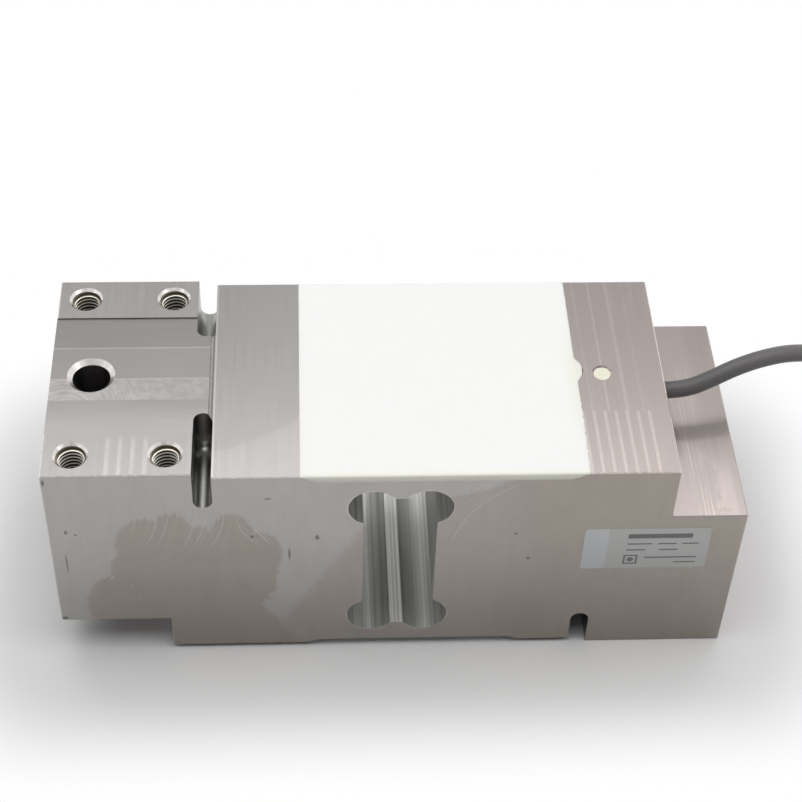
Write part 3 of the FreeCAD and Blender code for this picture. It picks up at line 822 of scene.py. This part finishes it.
def plain_metal(name, colour, roughness, stretch=(1.0, 1.0, 1.0)):
    """A drawn, etched or tinned metal with lines along its short stretch."""
    g = Graph(name)
    x, y, z = g.place()
    grain = g.noise(x * 3 * stretch[0], y * 3 * stretch[1], z * 3 * stretch[2], 3.0, 0.6)
    return g.finish(
        Base_Color=g.tinted(colour, 0.88 + 0.24 * grain), Metallic=1.0,
        Roughness=roughness + 0.15 * (grain - 0.5), Normal=g.bump(grain, 0.01, 0.4),
    )


def braided_shield():
    """Tinned copper braid, twisted together."""
    g = Graph("braided_shield")
    x, y, z = g.place()
    strands = g.sine((x * 1.2 + y + z) * 9.0) * 0.5 + 0.5
    return g.finish(
        Base_Color=g.tinted((0.68, 0.66, 0.63), 0.55 + 0.5 * strands), Metallic=1.0,
        Roughness=0.35 + 0.1 * (1 - strands), Normal=g.bump(strands, 0.08, 0.7),
    )


def cable_jacket():
    """Matt extruded jacket, with the faint lines of its die and a dusty bloom."""
    g = Graph("cable_jacket")
    x, y, z = g.place()
    fine = g.noise(x * 1.6, y * 1.6, z * 1.6, 4.0, 0.65)
    patch = g.noise(x * 0.09, y * 0.09, z * 0.09, 2.0, 0.5)
    tone = (0.86 + 0.16 * fine + 0.14 * patch) * (0.68 + 0.5 * g.ramp(x, 78.0, 128.0))
    return g.finish(
        Base_Color=g.tinted((0.128, 0.123, 0.121), tone), Roughness=0.46 + 0.15 * (fine - 0.5),
        Specular_IOR_Level=0.45,
        Normal=g.bump(fine, 0.03, 0.5),
    )


# The label's printed fields, in millimetres from its lower left corner.
PALE_PANEL = 6.7
BARS = (                              # from, to, foot and height
    (12.2, 30.2, 13.0, 1.9), (12.2, 19.2, 10.35, 0.55), (20.9, 26.0, 10.35, 0.55),
    (27.6, 32.3, 10.35, 0.55), (12.2, 17.6, 7.75, 0.55), (21.4, 26.6, 7.75, 0.55),
    (17.6, 32.3, 4.35, 0.6), (26.0, 32.3, 2.2, 0.55),
)
EMBLEM = (13.7, 3.9)                  # a plain disc in a square frame
FRAME_REACH = 2.0
FRAME_LINE = 0.55
DISC_REACH = 1.0


def printed_foil():
    """The rating label: satin foil, a paler end panel and a layout of plain printed fields."""
    g = Graph("printed_foil")
    x, y, z = g.place()
    u = x - label_low.x / MM
    v = z - label_low.z / MM
    soft = 0.06

    def square(reach):
        across = g.band(u, EMBLEM[0] - reach, EMBLEM[0] + reach, soft)
        return across * g.band(v, EMBLEM[1] - reach, EMBLEM[1] + reach, soft)

    fine = g.noise(x * 1.3, y, z * 1.3, 3.0, 0.6)
    cloud = g.noise(x * 0.12, y, z * 0.12, 2.0, 0.5)
    panel = g.ramp(u, PALE_PANEL + 0.2, PALE_PANEL - 0.2)
    foil = g.blend(panel, rgb(196, 196, 195), rgb(206, 209, 212))
    bars = 0.0
    for start, stop, foot, tall in BARS:
        bars = g.most(bars, g.band(u, start, stop, soft) * g.band(v, foot, foot + tall, soft))
    emblem_frame = square(FRAME_REACH) * (1.0 - square(FRAME_REACH - FRAME_LINE))
    disc = g.ramp(g.ring_distance(u, v, *EMBLEM), DISC_REACH, DISC_REACH - 0.15)
    bars = g.most(bars, emblem_frame, disc)
    ink = g.blend(bars * (0.82 + 0.1 * fine), foil, rgb(92, 90, 90))
    return g.finish(
        Base_Color=g.tinted(ink, 0.96 + 0.05 * cloud + 0.03 * fine), Metallic=0.12,
        Roughness=0.34 + 0.06 * fine, Normal=g.bump(fine + 0.3 * bars, 0.02, 0.3),
    )


FLOOR_GREY = (0.70, 0.70, 0.70, 1.0)
SEEN_FLOOR_GREY = (0.82, 0.82, 0.82, 1.0)
FLOOR_FADE = (14.0, 52.0)             # from the block: the shadow's fade to plain white, in mm


def floor_material():
    """Pale card: keeps shadows near the object and is plain white backdrop further out."""
    g = Graph("floor_card")
    x, y, _ = g.place()
    seen = g.seen()
    beside = g.most(g.size(x) - body_high.x / MM, 0.0)
    before = g.most(g.size(y) - BACK / MM, 0.0)
    away = g.math("SQRT", beside * beside + before * before)
    colour = g.blend(seen, FLOOR_GREY, SEEN_FLOOR_GREY)
    card = g.node("ShaderNodeBsdfDiffuse")
    g.feed(card.inputs["Color"], colour)
    white = g.node("ShaderNodeEmission")
    mixed = g.node("ShaderNodeMixShader")
    g.feed(mixed.inputs[0], seen * g.ramp(away, *FLOOR_FADE))
    g.tree.links.new(card.outputs[0], mixed.inputs[1])
    g.tree.links.new(white.outputs[0], mixed.inputs[2])
    g.tree.links.new(mixed.outputs[0], g.output.inputs["Surface"])
    return g.material


# ---- pieces ----

def mesh_object(name, vertices, faces, material):
    """A smooth mesh from its vertices, in metres, and its faces."""
    data = bpy.data.meshes.new(name)
    data.from_pydata([tuple(place) for place in vertices], [], faces)
    data.update()
    for polygon in data.polygons:
        polygon.use_smooth = True
    data.materials.append(material)
    return link(bpy.data.objects.new(name, data))


def sharpen(obj, degrees):
    """Keeps edges crisp where faces turn by more than this angle."""
    obj.data.set_sharp_from_angle(angle=math.radians(degrees))
    return obj


def facing_out(obj):
    """Turns every face of a closed mesh outwards."""
    work = bmesh.new()
    work.from_mesh(obj.data)
    bmesh.ops.recalc_face_normals(work, faces=work.faces)
    work.to_mesh(obj.data)
    work.free()
    return obj


COVER_EDGE_STEPS = (0.0, 0.12, 0.28, 0.5, 0.8)
COVER_EDGE = COVER_EDGE_STEPS[-1]     # how far in the cover's skin curves
COVER_WIDTH = 77.0                    # roughly, to space its columns
COVER_LIFT = 0.03
COVER_DOME = 0.11
COVER_DROOP = 0.42
COVER_WAVE = 0.05
TONGUE_Y = 1.3
TONGUE_REACH = 1.75
TONGUE_HALF_WIDTH = 3.6


def waver(x, y, z):
    """Smooth noise about 0, the same on every run."""
    return noise.noise(Vector((x, y, z)))


def cover_right_edge(y):
    """The cover's edge on the cable's side: nearly straight, with a tongue that ran over."""
    tongue = TONGUE_REACH * math.exp(-((y - TONGUE_Y) / TONGUE_HALF_WIDTH) ** 4)
    drift = 0.25 * math.exp(-((y + 15.0) / 12.0) ** 2)
    ripple = 0.16 * (waver(0.0, y * 0.35, 3.0) + 0.5 * waver(1.0, y, 5.0))
    ragged = min(1.0, max(0.0, (-8.0 - y) / 6.0)) * 0.55 * waver(4.0, y * 0.8, 9.0)
    return RECESS_RIGHT + tongue + drift + ripple + ragged


def cover_left_edge(y):
    return RECESS_LEFT + 0.07 * waver(2.0, y * 0.3, 7.0)


def recess_depth(x):
    """The recess's depth under the face at x: ramps down at both ends."""
    inward = min(x - RECESS_LEFT, RECESS_RIGHT - x)
    return max(0.0, RECESS_DEPTH * min(1.0, inward / RECESS_RAMP))


def spaced(low, high, edge, inner):
    """Places from low to high: close together at both ends, about inner apart between."""
    count = max(2, round((high - low - 2 * edge[-1]) / inner))
    middle = [low + edge[-1] + (high - low - 2 * edge[-1]) * i / count for i in range(1, count)]
    return [low + step for step in edge] + middle + [high - step for step in reversed(edge)]


def top_cover(material):
    """The poured cover: level, with a soft skin at its edges, filling the recess."""
    half = BACK / MM
    rows = spaced(-half, half, COVER_EDGE_STEPS, 0.6)
    shares = spaced(0.0, 1.0, tuple(step / COVER_WIDTH for step in COVER_EDGE_STEPS), 0.016)
    vertices = []
    for y in rows:
        left = cover_left_edge(y)
        right = cover_right_edge(y)
        to_side = min(half - y, y + half)
        for share in shares:
            x = left + (right - left) * share
            to_end = min(x - left, right - x)
            dome = 1 - (1 - min(1.0, to_end / COVER_EDGE)) ** 2
            droop = (1 - min(1.0, to_side / COVER_EDGE)) ** 2
            wave = COVER_WAVE * waver(x * 0.06, y * 0.06, 1.0) * dome
            z = FACE + COVER_LIFT + COVER_DOME * dome + wave * (1 - droop) - COVER_DROOP * droop
            vertices.append(Vector((x, y, z)) * MM)
    columns = len(shares)
    top_count = len(vertices)
    for y in rows:
        for share in shares:
            x = RECESS_LEFT + (RECESS_RIGHT - RECESS_LEFT) * share
            vertices.append(Vector((x, y, FACE - recess_depth(x))) * MM)
    faces = []
    for j in range(len(rows) - 1):
        for i in range(columns - 1):
            a = j * columns + i
            faces.append((a, a + 1, a + columns + 1, a + columns))
            b = a + top_count
            faces.append((b, b + columns, b + columns + 1, b + 1))
    for i in range(columns - 1):
        last = (len(rows) - 1) * columns + i
        faces.append((i, i + top_count, i + 1 + top_count, i + 1))
        faces.append((last, last + 1, last + 1 + top_count, last + top_count))
    for j in range(len(rows) - 1):
        a = j * columns
        b = a + columns - 1
        faces.append((a, a + columns, a + columns + top_count, a + top_count))
        faces.append((b, b + top_count, b + columns + top_count, b + columns))
    cover = mesh_object("top_cover", vertices, faces, material)
    return sharpen(facing_out(cover), 50)


THREAD_PITCH = 1.25
THREAD_CREST = 3.38
THREAD_FLANK = 3.91
THREAD_ROOT = 3.97
THREAD_WALL = 3.99
THREAD_STEPS = 48
THREAD_TURNS = 14
THREAD_START = 0.55                   # under the mouth
THREAD_RUN_IN = (0.75, 1.65)          # depths between which the ridge grows to its full height


def thread_mesh(material):
    """An M8 thread from mouth to bottom of a hole that opens along +Z at the origin."""
    profile = [                       # share of the pitch, and radius
        (0.0, THREAD_CREST), (0.10, THREAD_CREST), (0.42, THREAD_FLANK),
        (0.5, THREAD_ROOT), (0.78, THREAD_ROOT), (0.86, THREAD_FLANK),
    ]
    span = len(profile)
    rows = THREAD_TURNS * span
    run_in, run_out = THREAD_RUN_IN
    places = []
    numbers = {}
    for shell in ("inner", "outer"):
        for row in range(rows + span + 1):
            turn, part = divmod(row, span)
            offset, radius = profile[part]
            for step in range(THREAD_STEPS if row <= rows else 1):
                angle = 2 * math.pi * step / THREAD_STEPS
                depth = THREAD_START + (turn + offset + step / THREAD_STEPS) * THREAD_PITCH
                grown = min(1.0, max(0.0, (depth - run_in) / (run_out - run_in)))
                r = THREAD_WALL
                if shell == "inner":
                    r = THREAD_ROOT + (radius - THREAD_ROOT) * grown
                numbers[shell, row, step] = len(places)
                places.append(Vector((r * math.cos(angle), r * math.sin(angle), -depth)) * MM)

    def spot(shell, row, step):
        """The vertex's number; a turn's last step is the next turn's first."""
        if step == THREAD_STEPS:
            return numbers[shell, row + span, 0]
        return numbers[shell, row, step]

    def quad(corners):
        return tuple(spot(*corner) for corner in corners)

    faces = []
    for row in range(rows):
        for step in range(THREAD_STEPS):
            ring = ((row, step), (row + 1, step), (row + 1, step + 1), (row, step + 1))
            faces.append(quad(("inner", *place) for place in ring))
            faces.append(quad(("outer", *place) for place in reversed(ring)))
    for step in range(THREAD_STEPS):
        for row in (0, rows):
            faces.append(quad((
                ("inner", row, step), ("inner", row, step + 1),
                ("outer", row, step + 1), ("outer", row, step),
            )))
    for row in [*range(span), *range(rows, rows + span)]:
        faces.append(quad((
            ("inner", row, 0), ("outer", row, 0), ("outer", row + 1, 0), ("inner", row + 1, 0),
        )))
    obj = mesh_object("thread", places, faces, material)
    data = sharpen(facing_out(obj), 38).data
    bpy.data.objects.remove(obj)
    return data


def add_threads(material):
    """Threads in the platform's holes, and upside down in the foot's, mirrored along X."""
    data = thread_mesh(material)
    upright = Matrix.Translation((0, 0, TOP))
    upside_down = Matrix.Rotation(math.pi, 4, "Y")
    made = []
    for end, mirror, pose in (("platform", 1, upright), ("foot", -1, upside_down)):
        for i, hole_x in enumerate(HOLE_X):
            for side, hole_y in zip(("front", "back"), HOLE_Y):
                obj = link(bpy.data.objects.new("thread_%s_%s_%d" % (end, side, i + 1), data))
                obj.matrix_world = Matrix.Translation((mirror * hole_x * MM, hole_y * MM, 0)) @ pose
                made.append(obj)
    return made


LABEL_CORNER = 0.9 * MM
LABEL_BEVEL = 0.06 * MM
LABEL_EDGE = 0.03 * MM
CORNER_STEPS = 8


def rounded_outline(width, height, radius):
    """Points round a rectangle with rounded corners, about its middle."""
    points = []
    for corner, (side_x, side_y) in enumerate(((1, 1), (-1, 1), (-1, -1), (1, -1))):
        for step in range(CORNER_STEPS + 1):
            angle = math.pi / 2 * (corner + step / CORNER_STEPS)
            points.append((
                side_x * (width / 2 - radius) + radius * math.cos(angle),
                side_y * (height / 2 - radius) + radius * math.sin(angle),
            ))
    return points


def label_plate(material):
    """The rating label: a thin foil with rounded corners and a faint lift at its edge."""
    centre = (label_low + label_high) / 2
    width = label_high.x - label_low.x
    height = label_high.z - label_low.z
    outer = rounded_outline(width, height, LABEL_CORNER)
    inner = rounded_outline(
        width - 2 * LABEL_BEVEL, height - 2 * LABEL_BEVEL, LABEL_CORNER - LABEL_BEVEL,
    )
    count = len(outer)
    vertices = [Vector((centre.x + u, FRONT, centre.z + v)) for u, v in outer]
    vertices += [Vector((centre.x + u, label_low.y + LABEL_EDGE, centre.z + v)) for u, v in outer]
    vertices += [Vector((centre.x + u, label_low.y, centre.z + v)) for u, v in inner]
    faces = []
    for layer in range(2):
        for i in range(count):
            j = (i + 1) % count
            a = layer * count
            faces.append((a + i, a + j, a + j + count, a + i + count))
    faces.append(tuple(range(2 * count, 3 * count)))
    faces.append(tuple(reversed(range(count))))
    plate = mesh_object("rating_plate", vertices, faces, material)
    return sharpen(facing_out(plate), 40)


SLEEVE_SIDES = 32
SLEEVE_PROFILE = (                    # distance along the sleeve and radius, in millimetres
    (0.0, 2.62), (0.15, 2.86), (0.6, 3.0), (2.6, 3.06), (6.2, 3.05),
    (7.4, 2.95), (8.6, 2.72), (9.8, 2.62), (10.7, 2.6), (11.0, 2.45),
)


def heat_shrink(material):
    """Shrink sleeve over the jacket's end: turned, and drawn in at both mouths."""
    start = Vector(TAIL_ROUTE[-1]) * MM
    along = (sleeve_end() - start).normalized()
    turn = along.to_track_quat("Z", "Y").to_matrix().to_4x4()
    turn.translation = start
    vertices = []
    for distance, radius in SLEEVE_PROFILE:
        for step in range(SLEEVE_SIDES):
            angle = 2 * math.pi * step / SLEEVE_SIDES
            place = Vector((radius * math.cos(angle), radius * math.sin(angle), distance))
            vertices.append(turn @ (place * MM))
    faces = []
    for row in range(len(SLEEVE_PROFILE) - 1):
        for step in range(SLEEVE_SIDES):
            a = row * SLEEVE_SIDES + step
            b = row * SLEEVE_SIDES + (step + 1) % SLEEVE_SIDES
            faces.append((a, b, b + SLEEVE_SIDES, a + SLEEVE_SIDES))
    last = len(vertices) - SLEEVE_SIDES
    faces.append(tuple(reversed(range(SLEEVE_SIDES))))
    faces.append(tuple(range(last, last + SLEEVE_SIDES)))
    sleeve = mesh_object("heat_shrink", vertices, faces, material)
    return sharpen(facing_out(sleeve), 40)


FLOOR_REACH = 4.0


def floor(material):
    data = bpy.data.meshes.new("floor")
    corners = [
        (side_x * FLOOR_REACH, side_y * FLOOR_REACH, 0)
        for side_x, side_y in ((-1, -1), (1, -1), (1, 1), (-1, 1))
    ]
    data.from_pydata(corners, [], [(0, 1, 2, 3)])
    data.materials.append(material)
    link(bpy.data.objects.new("floor", data))


# ---- light ----

WORLD_LIGHT = 0.12
BACKDROP = 1.0
CEILING = 0.45
CEILING_EDGE = (0.40, 0.62)           # height of a ray's direction where white turns to grey


def add_world():
    """White backdrop that turns into a grey ceiling; a weaker even light for all the rest."""
    world = bpy.data.worlds.new("studio")
    bpy.context.scene.world = world
    world.use_nodes = True
    g = Graph("world", world.node_tree)
    coordinates = g.node("ShaderNodeTexCoord")
    height = g.split(coordinates.outputs["Generated"])[2]
    backdrop = BACKDROP - (BACKDROP - CEILING) * g.ramp(height, *CEILING_EDGE)
    background = g.node("ShaderNodeBackground")
    background.inputs["Color"].default_value = (1.0, 1.0, 1.0, 1.0)
    g.feed(background.inputs["Strength"], WORLD_LIGHT + g.seen() * (backdrop - WORLD_LIGHT))
    g.tree.links.new(background.outputs[0], g.output.inputs["Surface"])


LAMP_HEIGHT = 1.08
# Softboxes overhead, in metres and watts: from and to along Y, width along X, and power.
# The back one is the brighter, and gives the milled tops their shine.
SOFTBOXES = {
    "softbox_back": (0.30, 0.68, 1.2, 4.52),
    "softbox_top": (-0.55, 0.30, 2.4, 12.18),
}


def add_softbox(name, near, far, width, power):
    """A rectangular lamp overhead that faces straight down."""
    data = bpy.data.lights.new(name, "AREA")
    data.shape = "RECTANGLE"
    data.size = width
    data.size_y = far - near
    data.energy = power
    lamp = link(bpy.data.objects.new(name, data))
    lamp.location = (0.0, (near + far) / 2, LAMP_HEIGHT)


# ---- the object ----

def paint(names, material):
    """Gives CAD nodes a material in place of their own."""
    for name in names:
        data = frame["nodes"][name].data
        data.materials.clear()
        data.materials.append(material)


def ride_all(pieces):
    for piece in pieces:
        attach(piece, "root")


add_camera()
bpy.context.scene.view_settings.view_transform = "Standard"

paint(["measuring_body"], milled_aluminium())
white = poured_compound(
    "white_compound_skin", colour=(0.93, 0.93, 0.915, 1.0), edge_colour=(0.90, 0.89, 0.78, 1.0),
    gloss=0.42, lumps=0.05,
)
cream = poured_compound(
    "cream_compound_skin", colour=(0.80, 0.80, 0.62, 1.0), edge_colour=(0.86, 0.86, 0.72, 1.0),
    gloss=0.25, lumps=0.9,
)
paint(["bottom_cover_compound"], white)
paint(["fill_port_compound"], cream)

cover = top_cover(white)
ride_all([cover])
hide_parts("top_cover_compound")

ride_all(add_threads(tapped_aluminium()))

plate = label_plate(printed_foil())
ride_all([plate])
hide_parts("rating_label")

jacket = cable_jacket()
paint(["cable_inner_end"], jacket)
cable = spline_object("signal_cable", cable_points(), CABLE / 2)
cable.data.materials.append(jacket)
ride_all([cable])
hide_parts("cable_tube", "cable_coil", "cable_tail")

shrink = heat_shrink(plain_plastic("shrink_sleeve", (0.02, 0.02, 0.021), 0.42, 0.4))
ride_all([shrink])
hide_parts("end_sleeve")

far_pieces = [shrink]
for colour, (tint, degrees, fan) in CORES.items():
    skin = plain_plastic("insulation_" + colour, tint, 0.38, 0.5)
    lead = spline_object("lead_wire_" + colour, lead_route(core_place(degrees), fan), LEAD / 2)
    lead.data.materials.append(skin)
    ride_all([lead])
    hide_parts("lead_" + colour)
    paint(["core_" + colour], skin)
    far_pieces.append(lead)

braid = braided_shield()
drain = spline_object("shield_braid", lead_route((0.0, 0.0), DRAIN_FAN), LEAD / 2)
drain.data.materials.append(braid)
ride_all([drain])
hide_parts("shield_tail")
paint(["shield_fold"], braid)
paint(["tinned_lead_ends"], plain_metal("tinned_strands", (0.74, 0.73, 0.70), 0.3))
far_pieces += [drain, frame["nodes"]["tinned_lead_ends"]]

polyimide = plain_plastic("polyimide", (0.62, 0.30, 0.06), 0.25)
etched_foil = plain_metal("etched_foil", (0.55, 0.50, 0.42), 0.35, (1.0, 8.0, 1.0))
terminals = plain_plastic("terminals", (0.16, 0.30, 0.16), 0.4)
for recess in ("top", "bottom"):
    paint(["terminal_strip_" + recess], terminals)
    for lobe in ("load_side", "foot_side"):
        paint(["gauge_film_%s_%s" % (recess, lobe)], polyimide)
        paint(["gauge_foil_%s_%s" % (recess, lobe)], etched_foil)
paint(["bridge_board"], plain_plastic("board_mask", (0.05, 0.24, 0.10), 0.35))
paint(["trimming_resistors"], plain_plastic("resistor_body", (0.04, 0.04, 0.045), 0.45))
paint(
    ["gauge_wires_top", "gauge_wires_bottom", "board_wires", "link_wires"],
    plain_metal("enamelled_copper", (0.70, 0.36, 0.16), 0.28),
)

floor(floor_material())
add_world()
for name, shape in SOFTBOXES.items():
    add_softbox(name, *shape)
